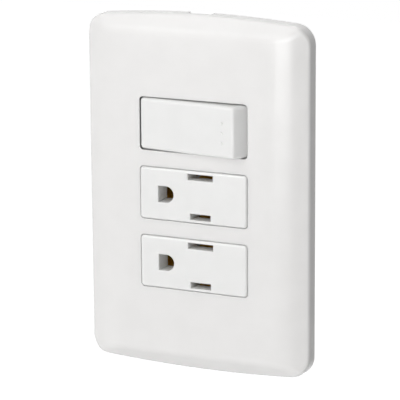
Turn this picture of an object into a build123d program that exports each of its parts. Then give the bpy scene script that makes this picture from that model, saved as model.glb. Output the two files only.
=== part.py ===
from build123d import *
import os
from math import cos, radians, sin, sqrt, tan

# A wall plate with one rocker switch above two earthed sockets.
# Millimetres. X to the right, Y into the wall, Z up. The wall's face is y = 0, and the origin lies
# halfway between the two screws that hold the mounting frame to its wall box.

# Wall box and its screws
BOX_SCREW_SPACING = 83.3
BOX_SCREW_R = 1.75
BOX_SCREW_LENGTH = 25.0
BOX_NECK_R = 1.5
BOX_NECK_PROUD = 0.4
BOX_HEAD_R = 3.4
BOX_HEAD_HEIGHT = 1.8
BOX_HEAD_EDGE_R = 0.6
BOX_TIP_CHAMFER = 0.45
BOX_DRIVE_WIDTH = 4.1
BOX_SLOT_CLEARANCE = 0.3
BOX_SLOT_TRAVEL = 6.0

# Cover plate
PLATE_WIDTH = 76.2
PLATE_HEIGHT = 114.2
PLATE_DEPTH = 7.5
PLATE_WALL = 2.0
PLATE_DRAFT = 2.0
PLATE_CORNER_R = 6.5
PLATE_EDGE_R = 1.2
END_BOW = 2.0
SIDE_BORDER = 12.1
END_BORDER = 7.1
SIDE_SLOPE = 25.0
END_SLOPE = 35.0
SIDE_BEND_R = 20.0
END_BEND_R = 5.0
WINDOW_EDGE_R = 0.25
WINDOW_LAND = 0.45
PRY_WIDTH = 8.0
PRY_DEPTH = 2.4
PLATE_ROOT = 0.5

# Modules: three faces of one size, one above the other
FACE_WIDTH = 36.8
FACE_HEIGHT = 16.7
FACE_CORNER_R = 1.1
FACE_EDGE_R = 0.8
FACE_PROUD = 0.4
WINDOW_GAP = 0.15
BODY_SIDE_MARGIN = 3.6
BODY_END_MARGIN = 1.35
BODY_WALL = 1.2
BODY_DEPTH = 22.5
BODY_SPLIT = 7.0
HOUSING_CORNER_R = 0.6
BARRIER_WIDTH = 1.0
BARRIER_RISE = 1.2
BARRIER_LENGTH = 11.0
BARRIER_X = 4.6
GAUGE_LENGTH = 8.0
GAUGE_WIDTH = 1.2
GAUGE_DEPTH = 0.4
FLANGE_REACH = 1.5
FLANGE_GAP = 0.3
FLANGE_THICKNESS = 1.6
LIP_LENGTH = 1.8
LIP_WALL = 1.0
LIP_CLEARANCE = 0.1
LIP_OPEN_WIDTH = 28.0
REAR_WALL = 1.5
LATCH_WIDTH = 6.0
LATCH_LENGTH = 3.0
LATCH_REACH = 0.9
LATCH_CLEARANCE = 0.1
LATCH_SLIT = 0.8

# Mounting frame
FRAME_SIDE_MARGIN = 7.1
FRAME_END_MARGIN = 7.1
FRAME_BAR = 2.32
FRAME_THICKNESS = 2.5
FRAME_CORNER_R = 4.0
FRAME_OPENING_CLEARANCE = 0.2
FRAME_RIB_WIDTH = 1.4
FRAME_RIB_HEIGHT = 1.4
FRAME_RIB_INSET = 3.0

# Snap hooks of the plate on the frame's upper and lower edges
HOOK_WIDTH = 7.0
HOOK_THICKNESS = 1.4
HOOK_SPREAD = 34.0
HOOK_BITE = 0.8
HOOK_LEDGE = 1.3
HOOK_TIP_GAP = 0.3
HOOK_CLEARANCE = 0.15
PLATE_RIB_WIDTH = 1.2
PLATE_RIB_HEIGHT = 1.0

# Blade and earth-pin layout, turned so that the earth pin lies to the left
BLADE_SPACING = 12.7
EARTH_OFFSET = 11.89
EARTH_SIDE_MARGIN = 9.06
NEUTRAL_SLOT = 8.6
LINE_SLOT = 7.0
SLOT_HEIGHT = 1.95
EARTH_HOLE_R = 2.6
EARTH_FLAT = 2.7
SLOT_BEVEL = 0.15
FRONT_SLAB = 6.4
SLOT_WALL_DEPTH = 4.5

# Brass contacts
SHEET = 0.8
LEAF_WIDTH = 5.8
LEAF_MOUTH_GAP = 2.3
LEAF_PINCH_GAP = 1.3
LEAF_PINCH_DEPTH = 8.4
LEAF_DEPTH = 18.9
LEAF_POCKET_CLEARANCE = 0.2
EARTH_MOUTH_GAP = 5.4
EARTH_PINCH_GAP = 4.4
EARTH_PINCH_DEPTH = 10.5
EARTH_LEAF_DEPTH = 21.6
EARTH_LEAF_WIDTH = 5.0
EARTH_WEB_CLEARANCE = 0.1
LEAF_MOUTH_CLEARANCE = 0.1
CONTACT_CLEARANCE = 0.2

# Terminals
TERMINAL_SIDE_MARGIN = 5.2
TERMINAL_PLATE = 5.8
WIRE_GAP = 1.6
CLAMP_SIZE = 5.6
CLAMP_THICKNESS = 1.2
CLAMP_CORNER_R = 0.6
TERMINAL_SCREW_R = 1.6
TERMINAL_SCREW_LENGTH = 5.4
TERMINAL_HEAD_R = 2.7
TERMINAL_HEAD_HEIGHT = 2.0
TERMINAL_HEAD_CHAMFER = 0.4
TERMINAL_DRIVE_WIDTH = 3.5
TERMINAL_HEAD_RECESS = 0.4
THREAD_CLEARANCE = 0.05
HEAD_CLEARANCE = 0.3
WIRE_SLOT_WIDTH = 3.2
WIRE_SLOT_LENGTH = 5.0
TERMINAL_TAB = 1.2
PARTITION = 1.2
DRIVE_SLOT = 0.8
DRIVE_DEPTH = 0.8

# Rocker and its toggle mechanism
ROCKER_TILT = 6.5
PIVOT_DEPTH = 9.3
ROCKER_GAP = 0.4
ROCKER_PROUD = 1.98
ROCKER_SIDE_GAP = 0.3
ROCKER_WALL = 1.5
ROCKER_SKIRT = 7.3
ROCKER_EDGE_R = 1.2
PIVOT_PIN_R = 1.4
PIVOT_CLEARANCE = 0.05
PIVOT_PIN_END_GAP = 0.3
CHEEK_R = 3.0
BARREL_R = 3.1
BARREL_BORE_R = 1.8
BARREL_TAIL = 4.5
DOT_R = 0.5
DOT_RISE = 0.25
DOT_TAPER = 30.0
DOT_PITCH = 3.1
DOT_X = 12.7
DOT_DROP = 0.35
PLUNGER_R = 1.3
PLUNGER_COLLAR_R = 1.7
PLUNGER_COLLAR = 1.2
SPRING_WIRE_R = 0.22
SPRING_COIL_R = 1.35
SPRING_TURNS = 4.0
SPRING_SEAT = 8.0
COLLAR_SEAT = 0.4
SEESAW_OVERHANG = 0.2
SEESAW_WIDTH = 4.6
SEESAW_CORNER_R = 1.15
SEESAW_TOUCH_GAP = 0.05
TRUNNION_R = 0.7
TRUNNION_CLEARANCE = 0.05
EAR_GAP = 0.3
EAR_HALF_WIDTH = 1.8
TIP_R = 1.4
TIP_HEIGHT = 0.7
TIP_EDGE_R = 0.25
TIP_X = 5.6
TIP_CLEARANCE = 0.1
COMMON_END = 2.3

# Levels along Y and places that follow from the sizes above
PLATE_FRONT_Y = -PLATE_DEPTH
PLATE_INNER_Y = PLATE_FRONT_Y + PLATE_WALL
FRAME_FRONT_Y = -FRAME_THICKNESS
FLANGE_FRONT_Y = FRAME_FRONT_Y - FLANGE_THICKNESS
FACE_Y = PLATE_FRONT_Y - FACE_PROUD
SLAB_BACK_Y = FACE_Y + FRONT_SLAB
REAR_Y = BODY_DEPTH
REAR_INNER_Y = REAR_Y - REAR_WALL
LIP_FRONT_Y = BODY_SPLIT - LIP_LENGTH
HEAD_Y = REAR_Y - TERMINAL_HEAD_RECESS - TERMINAL_HEAD_HEIGHT
CLAMP_Y = HEAD_Y - CLAMP_THICKNESS
TERMINAL_Y = CLAMP_Y - WIRE_GAP - SHEET
BODY_WIDTH = FACE_WIDTH + 2 * BODY_SIDE_MARGIN
BODY_HEIGHT = FACE_HEIGHT + 2 * BODY_END_MARGIN
OPENING_WIDTH = BODY_WIDTH + 2 * FRAME_OPENING_CLEARANCE
OPENING_HEIGHT = BODY_HEIGHT + 2 * FRAME_OPENING_CLEARANCE
MODULE_PITCH = OPENING_HEIGHT + FRAME_BAR
FRAME_WIDTH = PLATE_WIDTH - 2 * FRAME_SIDE_MARGIN
FRAME_HEIGHT = PLATE_HEIGHT - 2 * FRAME_END_MARGIN
INNER_WIDTH = BODY_WIDTH - 2 * BODY_WALL
INNER_HEIGHT = BODY_HEIGHT - 2 * BODY_WALL
LIP_WIDTH = INNER_WIDTH - 2 * LIP_CLEARANCE
LIP_HEIGHT = INNER_HEIGHT - 2 * LIP_CLEARANCE
WINDOW_WIDTH = FACE_WIDTH + 2 * WINDOW_GAP
WINDOW_HEIGHT = FACE_HEIGHT + 2 * WINDOW_GAP
FLANGE_WIDTH = BODY_WIDTH + 2 * FLANGE_REACH
FLANGE_HEIGHT = MODULE_PITCH - FLANGE_GAP
SWITCH_Z = MODULE_PITCH
SOCKET_Z = {1: 0.0, 2: -MODULE_PITCH}
MODULE_Z = [SWITCH_Z] + list(SOCKET_Z.values())
PIVOT_Y = PLATE_FRONT_Y + PIVOT_DEPTH
ROCKER_FACE = PIVOT_DEPTH + ROCKER_PROUD
ROCKER_END_R = sqrt((WINDOW_WIDTH / 2 - ROCKER_GAP) ** 2 + (PIVOT_DEPTH - WINDOW_LAND) ** 2)
ROCKER_HEIGHT = INNER_HEIGHT - 2 * ROCKER_SIDE_GAP
TIP_SWING = (SHEET / 2 + TIP_HEIGHT) * cos(radians(ROCKER_TILT)) + (TIP_X + TIP_R) * sin(radians(ROCKER_TILT))
SEESAW_Y = TERMINAL_Y - TIP_HEIGHT - TIP_CLEARANCE - TIP_SWING
PLUNGER_REACH = SEESAW_Y - PIVOT_Y - SHEET / 2 - SEESAW_TOUCH_GAP
EARTH_X = EARTH_SIDE_MARGIN - FACE_WIDTH / 2
BLADE_LINE_X = EARTH_X + EARTH_OFFSET
EARTH_WEB_X = EARTH_X - EARTH_FLAT - EARTH_WEB_CLEARANCE - SHEET
TERMINAL_X = INNER_WIDTH / 2 - TERMINAL_SIDE_MARGIN
TERMINAL_Z = INNER_HEIGHT / 4
SOCKET_TERMINALS = [(TERMINAL_X, TERMINAL_Z), (TERMINAL_X, -TERMINAL_Z), (-TERMINAL_X, 0)]
SWITCH_TERMINALS = [(TERMINAL_X, 0), (-TERMINAL_X, 0)]
WIRE_SLOT_STEP = TERMINAL_HEAD_R + HEAD_CLEARANCE + BODY_WALL + WIRE_SLOT_WIDTH / 2
SIDE_WIRE_X = TERMINAL_X - WIRE_SLOT_STEP
SOCKET_WIRES = [(SIDE_WIRE_X, TERMINAL_Z, 90), (SIDE_WIRE_X, -TERMINAL_Z, 90), (-TERMINAL_X, WIRE_SLOT_STEP, 0)]
SWITCH_WIRES = [(SIDE_WIRE_X, 0, 90), (-SIDE_WIRE_X, 0, 90)]

os.makedirs("parts", exist_ok=True)


def across(x, y, z):
    """Plane at depth y that faces out of the wall, its own x to the right and its own y up."""
    return Plane(origin=(x, y, z), x_dir=(1, 0, 0), z_dir=(0, -1, 0))


def turned(x, y, z, angle):
    """Plane square to Z through a pivot, turned about it by an angle, its own y into the wall."""
    turn = radians(angle)
    return Plane(origin=(x, y, z), x_dir=(cos(turn), sin(turn), 0), z_dir=(0, 0, 1))


def along_depth(plane):
    """Plane through the same pivot that faces along the given plane's own y."""
    return Plane(origin=plane.origin, x_dir=(0, 0, 1), z_dir=plane.y_dir)


def write(piece, name):
    """Label a finished piece and write it to its own file."""
    piece.part.label = name
    export_step(piece.part, f"parts/{name}.step")


def front_of(form, sloped_ends):
    """Front faces of a plate form: either the crowned field and sides, or the two sloped ends."""
    facing = form.faces().filter_by(lambda f: f.normal_at().Y < -cos(radians(END_SLOPE + SIDE_SLOPE)))
    return facing.filter_by(lambda f: (abs(f.normal_at().Z) > sin(radians(END_SLOPE / 2))) == sloped_ends)


def plate_form(inset, front, edge_radius):
    """Slab with bowed ends whose front falls away to all four edges, drawn in by an inset."""
    side_start = PLATE_WIDTH / 2 - SIDE_BORDER
    end_start = PLATE_HEIGHT / 2 - END_BORDER + END_BEND_R * tan(radians(END_SLOPE / 2))
    end_reach = end_start + END_BORDER
    with BuildPart() as form:
        # crown from left to right
        with BuildSketch(Plane.XY):
            with BuildLine():
                field = Line((0, front), (side_start, front))
                bend = JernArc(field @ 1, (1, 0), SIDE_BEND_R, SIDE_SLOPE)
                fall = Line(bend @ 1, (bend @ 1) + (bend % 1) * SIDE_BORDER)
                Polyline(fall @ 1, ((fall @ 1).X, PLATE_DEPTH), (0, PLATE_DEPTH))
                mirror(about=Plane.YZ)
            make_face()
        extrude(amount=end_reach, both=True)
        # both ends slope, and one soft bend runs along each slope and down its corners
        with BuildSketch(Plane.YZ):
            with BuildLine():
                foot = front + END_BORDER * tan(radians(END_SLOPE))
                Polyline((front, end_start), (foot, end_reach), (front, end_reach), close=True)
            make_face()
            mirror(about=Plane.XZ)
        extrude(amount=PLATE_WIDTH, both=True, mode=Mode.SUBTRACT)
        crown = front_of(form, False).edges()
        fillet([e for e in front_of(form, True).edges() if e in crown], END_BEND_R)
        # outline, whose walls lean in by the draft
        for level in (PLATE_DEPTH, -PLATE_DEPTH):
            shrink = inset + level * tan(radians(PLATE_DRAFT))
            half_width = PLATE_WIDTH / 2 - shrink
            half_height = PLATE_HEIGHT / 2 - shrink
            with BuildSketch(Plane.XZ.offset(level)) as outline:
                with BuildLine():
                    bow_end = half_height - END_BOW
                    bow = ThreePointArc((-half_width, bow_end), (0, half_height), (half_width, bow_end))
                    Line(bow @ 0, (-half_width, 0))
                    Line(bow @ 1, (half_width, 0))
                    mirror(about=Plane.XZ)
                make_face()
                corners = outline.vertices().filter_by(lambda v: abs(v.Y) > half_height / 2)
                fillet(corners, PLATE_CORNER_R - shrink)
        loft(ruled=True, mode=Mode.INTERSECT)
        split(bisect_by=Plane.XZ, keep=Keep.TOP)
        if edge_radius > 0:
            walls = form.faces().filter_by(lambda f: abs(f.normal_at().Y) < sin(radians(3 * PLATE_DRAFT)))
            rim = walls.edges().filter_by(lambda e: max(v.Y for v in e.vertices()) < -edge_radius)
            fillet(ShapeList(set(rim)), edge_radius)
    return form.part


# Cover plate: one moulded shell with three windows, snap hooks and a notch to pry it off
outer_form = plate_form(0, PLATE_FRONT_Y, PLATE_EDGE_R)
inner_form = plate_form(PLATE_WALL, PLATE_INNER_Y, 0)
with BuildPart() as face_plate:
    add(outer_form)
    add(inner_form, mode=Mode.SUBTRACT)
    with BuildSketch(Plane.XZ):
        with Locations(*[(0, z) for z in MODULE_Z]):
            RectangleRounded(WINDOW_WIDTH, WINDOW_HEIGHT, FACE_CORNER_R + WINDOW_GAP)
    extrude(amount=PLATE_DEPTH, mode=Mode.SUBTRACT)
    flats = face_plate.faces().filter_by(Plane.XZ)
    inner_field = flats.filter_by(lambda f: abs(f.center().Y - PLATE_INNER_Y) < PLATE_ROOT)
    inner_rims = [e for f in inner_field for w in f.inner_wires() for e in w.edges()]
    chamfer(inner_rims, PLATE_WALL - WINDOW_LAND)
    front_field = face_plate.faces().sort_by(Axis.Y)[0]
    fillet([e for w in front_field.inner_wires() for e in w.edges()], WINDOW_EDGE_R)
    # snap hooks reach back over the frame's upper and lower edges
    hook_root = PLATE_INNER_Y - PLATE_ROOT
    hook_near = FRAME_HEIGHT / 2 + HOOK_CLEARANCE
    catch_y = -HOOK_LEDGE + HOOK_CLEARANCE
    with BuildSketch(Plane.YZ.offset(HOOK_SPREAD / 2 - HOOK_WIDTH / 2)):
        with BuildLine():
            Polyline(
                (hook_root, hook_near),
                (hook_root, hook_near + HOOK_THICKNESS),
                (-HOOK_TIP_GAP, hook_near + HOOK_THICKNESS),
                (-HOOK_TIP_GAP, hook_near),
                (catch_y + HOOK_CLEARANCE, hook_near - HOOK_BITE),
                (catch_y, hook_near - HOOK_BITE),
                (catch_y, hook_near),
                close=True,
            )
        make_face()
    hook = extrude(amount=HOOK_WIDTH)
    mirror(hook, about=Plane.YZ)
    mirror(hook, about=Plane.XY)
    mirror(mirror(hook, about=Plane.YZ, mode=Mode.PRIVATE), about=Plane.XY)
    # stiffening ribs inside, beside the module flanges
    rib_x = FLANGE_WIDTH / 2 + PLATE_RIB_WIDTH
    with BuildSketch(Plane.XZ.offset(-PLATE_INNER_Y - PLATE_RIB_HEIGHT)):
        with Locations((-rib_x, 0), (rib_x, 0)):
            Rectangle(PLATE_RIB_WIDTH, 3 * MODULE_PITCH)
    extrude(amount=PLATE_RIB_HEIGHT + PLATE_ROOT)
    # notch in the upper rim, where a blade pries the plate off
    with BuildSketch(Plane.XZ):
        with Locations((0, PLATE_HEIGHT / 2)):
            Rectangle(PRY_WIDTH, 3 * PLATE_WALL)
    extrude(amount=PRY_DEPTH, mode=Mode.SUBTRACT)
write(face_plate, "face_plate")


# Mounting frame: holds the modules and lies on the wall box
with BuildPart() as mounting_frame:
    with BuildSketch(Plane.XZ):
        RectangleRounded(FRAME_WIDTH, FRAME_HEIGHT, FRAME_CORNER_R)
    extrude(amount=FRAME_THICKNESS)
    # raised rim that stiffens the frame in front
    with BuildSketch(Plane.XZ.offset(FRAME_THICKNESS)):
        RectangleRounded(
            FRAME_WIDTH - 2 * FRAME_RIB_INSET, FRAME_HEIGHT - 2 * FRAME_RIB_INSET, FRAME_CORNER_R / 2
        )
        offset(amount=-FRAME_RIB_WIDTH, mode=Mode.SUBTRACT)
    extrude(amount=FRAME_RIB_HEIGHT)
    with BuildSketch(Plane.XZ):
        with Locations(*[(0, z) for z in MODULE_Z]):
            Rectangle(OPENING_WIDTH, OPENING_HEIGHT)
        with Locations((0, BOX_SCREW_SPACING / 2), (0, -BOX_SCREW_SPACING / 2)):
            SlotCenterToCenter(BOX_SLOT_TRAVEL, 2 * (BOX_SCREW_R + BOX_SLOT_CLEARANCE))
    extrude(amount=FRAME_THICKNESS, mode=Mode.SUBTRACT)
    # ledges that the plate's hooks catch behind
    with BuildSketch(Plane.XZ):
        with GridLocations(HOOK_SPREAD, FRAME_HEIGHT, 2, 2):
            Rectangle(HOOK_WIDTH + 2 * HOOK_BITE, 2 * (HOOK_BITE + HOOK_CLEARANCE))
    extrude(amount=HOOK_LEDGE, mode=Mode.SUBTRACT)
write(mounting_frame, "mounting_frame")


# Box screws: two pan heads on the frame, their shanks reach back into the wall box
with BuildPart() as box_screws:
    with BuildSketch(across(0, FRAME_FRONT_Y, 0)):
        with Locations((0, BOX_SCREW_SPACING / 2), (0, -BOX_SCREW_SPACING / 2)):
            Circle(BOX_HEAD_R)
    extrude(amount=BOX_HEAD_HEIGHT)
    head_rims = box_screws.edges().filter_by(GeomType.CIRCLE).group_by(Axis.Y)[0]
    fillet(head_rims, BOX_HEAD_EDGE_R)
    with BuildSketch(across(0, FRAME_FRONT_Y, 0)):
        with Locations((0, BOX_SCREW_SPACING / 2), (0, -BOX_SCREW_SPACING / 2)):
            Circle(BOX_NECK_R)
    extrude(amount=-BOX_SCREW_LENGTH)
    with BuildSketch(across(0, BOX_NECK_PROUD, 0)):
        with Locations((0, BOX_SCREW_SPACING / 2), (0, -BOX_SCREW_SPACING / 2)):
            Circle(BOX_SCREW_R)
    extrude(amount=BOX_NECK_PROUD + FRAME_THICKNESS - BOX_SCREW_LENGTH)
    shank_ends = box_screws.edges().filter_by(GeomType.CIRCLE).group_by(Axis.Y)[-1]
    chamfer(shank_ends, BOX_TIP_CHAMFER)
    with BuildSketch(across(0, FRAME_FRONT_Y - BOX_HEAD_HEIGHT, 0)):
        with Locations((0, BOX_SCREW_SPACING / 2), (0, -BOX_SCREW_SPACING / 2)):
            Rectangle(BOX_DRIVE_WIDTH, DRIVE_SLOT)
            Rectangle(DRIVE_SLOT, BOX_DRIVE_WIDTH)
    extrude(amount=-DRIVE_DEPTH, mode=Mode.SUBTRACT)
write(box_screws, "box_screws")


def module_shell(z):
    """Flange, hollow skirt and end latches that every module has in front of its housing."""
    with BuildPart() as shell:
        with BuildSketch(across(0, FRAME_FRONT_Y, z)):
            RectangleRounded(FLANGE_WIDTH, FLANGE_HEIGHT, FACE_CORNER_R)
        extrude(amount=FLANGE_THICKNESS)
        with BuildSketch(across(0, BODY_SPLIT, z)):
            Rectangle(BODY_WIDTH, BODY_HEIGHT)
        extrude(amount=BODY_SPLIT - FRAME_FRONT_Y)
        # one-way latch on each end, behind the frame
        latch_y = LATCH_CLEARANCE
        with BuildSketch(Plane.XY.offset(z - LATCH_WIDTH / 2)):
            with BuildLine():
                Polyline(
                    (BODY_WIDTH / 2, latch_y),
                    (BODY_WIDTH / 2 + LATCH_REACH, latch_y),
                    (BODY_WIDTH / 2 + LATCH_REACH, latch_y + LATCH_REACH / 2),
                    (BODY_WIDTH / 2, latch_y + LATCH_LENGTH),
                    close=True,
                )
            make_face()
            mirror(about=Plane.YZ)
        extrude(amount=LATCH_WIDTH)
        with BuildSketch(across(0, BODY_SPLIT, z)):
            Rectangle(INNER_WIDTH, INNER_HEIGHT)
        extrude(amount=BODY_SPLIT - SLAB_BACK_Y, mode=Mode.SUBTRACT)
        # slits above and below each latch, so that it can spring
        with BuildSketch(across(0, BODY_SPLIT, z)):
            with GridLocations(BODY_WIDTH, LATCH_WIDTH + LATCH_SLIT, 2, 2):
                Rectangle(2 * BODY_WALL + LATCH_SLIT, LATCH_SLIT)
        extrude(amount=BODY_SPLIT - LATCH_CLEARANCE, mode=Mode.SUBTRACT)
    return shell.part


def module_housing(z, terminals, wires):
    """Open box behind the skirt, with a lip at each end that enters the skirt."""
    with BuildPart() as housing:
        with BuildSketch(across(0, REAR_Y, z)):
            RectangleRounded(BODY_WIDTH, BODY_HEIGHT, HOUSING_CORNER_R)
        extrude(amount=REAR_Y - BODY_SPLIT)
        with BuildSketch(across(0, BODY_SPLIT, z)):
            Rectangle(LIP_WIDTH, LIP_HEIGHT)
        extrude(amount=LIP_LENGTH)
        with BuildSketch(across(0, REAR_INNER_Y, z)):
            Rectangle(LIP_WIDTH - 2 * LIP_WALL, LIP_HEIGHT - 2 * LIP_WALL)
        extrude(amount=REAR_INNER_Y - LIP_FRONT_Y, mode=Mode.SUBTRACT)
        with BuildSketch(across(0, REAR_INNER_Y, z)):
            Rectangle(INNER_WIDTH, INNER_HEIGHT)
        extrude(amount=REAR_INNER_Y - BODY_SPLIT - LIP_LENGTH, mode=Mode.SUBTRACT)
        with BuildSketch(across(0, REAR_INNER_Y, z)):
            Rectangle(LIP_OPEN_WIDTH, INNER_HEIGHT)
        extrude(amount=REAR_INNER_Y - LIP_FRONT_Y, mode=Mode.SUBTRACT)
        # ribs that carry the outer edges of the terminal plates
        with BuildSketch(across(0, REAR_INNER_Y, z)):
            for x, dz in terminals:
                inner = TERMINAL_X + CLAMP_SIZE / 2 + CONTACT_CLEARANCE
                outer = BODY_WIDTH / 2 - BODY_WALL / 2
                with Locations(((outer + inner) / 2 * x / abs(x), dz)):
                    Rectangle(outer - inner, TERMINAL_PLATE)
        extrude(amount=REAR_INNER_Y - TERMINAL_Y - SHEET)
        # a screw hole and a wire slot in the rear wall for every terminal
        with BuildSketch(across(0, REAR_Y, z)):
            with Locations(*terminals):
                Circle(TERMINAL_HEAD_R + HEAD_CLEARANCE)
            for x, dz, turn in wires:
                with Locations((x, dz)):
                    SlotOverall(WIRE_SLOT_LENGTH, WIRE_SLOT_WIDTH, rotation=turn)
        extrude(amount=REAR_WALL, mode=Mode.SUBTRACT)
        # strip gauge between two raised barriers that part the terminals at the rear
        with BuildSketch(across(0, REAR_Y, z)):
            Rectangle(GAUGE_WIDTH, GAUGE_LENGTH)
        extrude(amount=GAUGE_DEPTH, mode=Mode.SUBTRACT)
        with BuildSketch(across(0, REAR_Y, z)):
            with Locations((-BARRIER_X, 0), (BARRIER_X, 0)):
                Rectangle(BARRIER_WIDTH, BARRIER_LENGTH)
        extrude(amount=-BARRIER_RISE)
    return housing.part


def terminal_screws(z, terminals):
    """Terminal screws with their heads to the rear."""
    with BuildPart() as screws:
        with BuildSketch(across(0, HEAD_Y, z)):
            with Locations(*terminals):
                Circle(TERMINAL_HEAD_R)
        extrude(amount=-TERMINAL_HEAD_HEIGHT)
        rims = screws.edges().filter_by(GeomType.CIRCLE).group_by(Axis.Y)[-1]
        chamfer(rims, TERMINAL_HEAD_CHAMFER)
        with BuildSketch(across(0, HEAD_Y, z)):
            with Locations(*terminals):
                Circle(TERMINAL_SCREW_R)
        extrude(amount=TERMINAL_SCREW_LENGTH)
        with BuildSketch(across(0, HEAD_Y + TERMINAL_HEAD_HEIGHT, z)):
            with Locations(*terminals):
                Rectangle(TERMINAL_DRIVE_WIDTH, DRIVE_SLOT)
                Rectangle(DRIVE_SLOT, TERMINAL_DRIVE_WIDTH)
        extrude(amount=DRIVE_DEPTH, mode=Mode.SUBTRACT)
    return screws


def clamp_plates(z, terminals):
    """Square plates under the screw heads, which press a wire on its terminal."""
    with BuildPart() as plates:
        with BuildSketch(across(0, HEAD_Y, z)):
            with Locations(*terminals):
                RectangleRounded(CLAMP_SIZE, CLAMP_SIZE, CLAMP_CORNER_R)
                Circle(TERMINAL_SCREW_R + THREAD_CLEARANCE, mode=Mode.SUBTRACT)
        extrude(amount=CLAMP_THICKNESS)
    return plates


def sheet_strip(plane, points, bend, width):
    """Strip of brass sheet bent along a line of points, as wide as given on the plane's normal."""
    with BuildPart() as strip:
        with BuildSketch(plane):
            with BuildLine():
                FilletPolyline(*points, radius=bend)
            trace(line_width=SHEET)
        extrude(amount=width)
    return strip.part


def blade_contact(z, side):
    """Pair of leaves round one blade, with an arm to its terminal plate."""
    centre = z + side * BLADE_SPACING / 2
    mouth = FACE_Y + SLOT_WALL_DEPTH + LEAF_MOUTH_CLEARANCE
    pinch = FACE_Y + LEAF_PINCH_DEPTH
    base = FACE_Y + LEAF_DEPTH + SHEET / 2
    arm_x = TERMINAL_X - TERMINAL_PLATE / 2 + SHEET / 2
    arm_width = LEAF_PINCH_GAP / 2 + SHEET
    leaf_line = [
        (mouth, (LEAF_MOUTH_GAP + SHEET) / 2),
        (pinch, (LEAF_PINCH_GAP + SHEET) / 2),
        ((pinch + base) / 2, (LEAF_MOUTH_GAP + SHEET) / 2),
        (base, (LEAF_MOUTH_GAP + SHEET) / 2),
    ]
    leaf_line += [(y, -half) for y, half in reversed(leaf_line)]
    leaf_line = [(y, centre + half) for y, half in leaf_line]
    leaves = sheet_strip(Plane.YZ.offset(BLADE_LINE_X - LEAF_WIDTH / 2), leaf_line, SHEET, LEAF_WIDTH)
    arm_line = [
        (BLADE_LINE_X, base),
        (arm_x, base),
        (arm_x, TERMINAL_Y + SHEET / 2),
        (TERMINAL_X, TERMINAL_Y + SHEET / 2),
    ]
    arm_z = centre - arm_width if side > 0 else centre
    arm = sheet_strip(Plane.XY.offset(arm_z), arm_line, SHEET, arm_width)
    with BuildPart() as contact:
        add(leaves)
        add(arm)
        with BuildSketch(across(TERMINAL_X, TERMINAL_Y + SHEET, z + side * TERMINAL_Z)):
            with Locations((TERMINAL_TAB / 2, 0)):
                Rectangle(TERMINAL_PLATE + TERMINAL_TAB, TERMINAL_PLATE)
        extrude(amount=SHEET)
        with BuildSketch(across(TERMINAL_X, TERMINAL_Y + SHEET, z + side * TERMINAL_Z)):
            Circle(TERMINAL_SCREW_R + THREAD_CLEARANCE)
        extrude(amount=SHEET, mode=Mode.SUBTRACT)
    return contact


def earth_contact(z):
    """Web behind the flat of the earth hole, a leaf above and below it, and a terminal plate."""
    mouth = SLAB_BACK_Y + CONTACT_CLEARANCE
    pinch = FACE_Y + EARTH_PINCH_DEPTH
    leaf_end = FACE_Y + EARTH_LEAF_DEPTH
    web_half = (EARTH_MOUTH_GAP + 2 * SHEET) / 2
    leaf_line = [
        (mouth, z + (EARTH_MOUTH_GAP + SHEET) / 2),
        (pinch, z + (EARTH_PINCH_GAP + SHEET) / 2),
        (leaf_end, z + (EARTH_MOUTH_GAP + SHEET) / 2),
    ]
    upper_leaf = sheet_strip(Plane.YZ.offset(EARTH_WEB_X), leaf_line, SHEET, EARTH_LEAF_WIDTH + SHEET)
    web_line = [
        (EARTH_WEB_X + SHEET / 2, mouth),
        (EARTH_WEB_X + SHEET / 2, TERMINAL_Y + SHEET / 2),
        (-TERMINAL_X, TERMINAL_Y + SHEET / 2),
    ]
    web = sheet_strip(Plane.XY.offset(z - TERMINAL_PLATE / 2), web_line, SHEET, TERMINAL_PLATE)
    with BuildPart() as contact:
        add(upper_leaf)
        mirror(upper_leaf, about=Plane.XY.offset(z))
        add(web)
        with BuildSketch(across(-TERMINAL_X, TERMINAL_Y + SHEET, z)):
            with Locations((-TERMINAL_TAB / 2, 0)):
                Rectangle(TERMINAL_PLATE + TERMINAL_TAB, TERMINAL_PLATE)
        extrude(amount=SHEET)
        with BuildSketch(across(-TERMINAL_X, TERMINAL_Y + SHEET, z)):
            Circle(TERMINAL_SCREW_R + THREAD_CLEARANCE)
        extrude(amount=SHEET, mode=Mode.SUBTRACT)
    return contact


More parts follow.
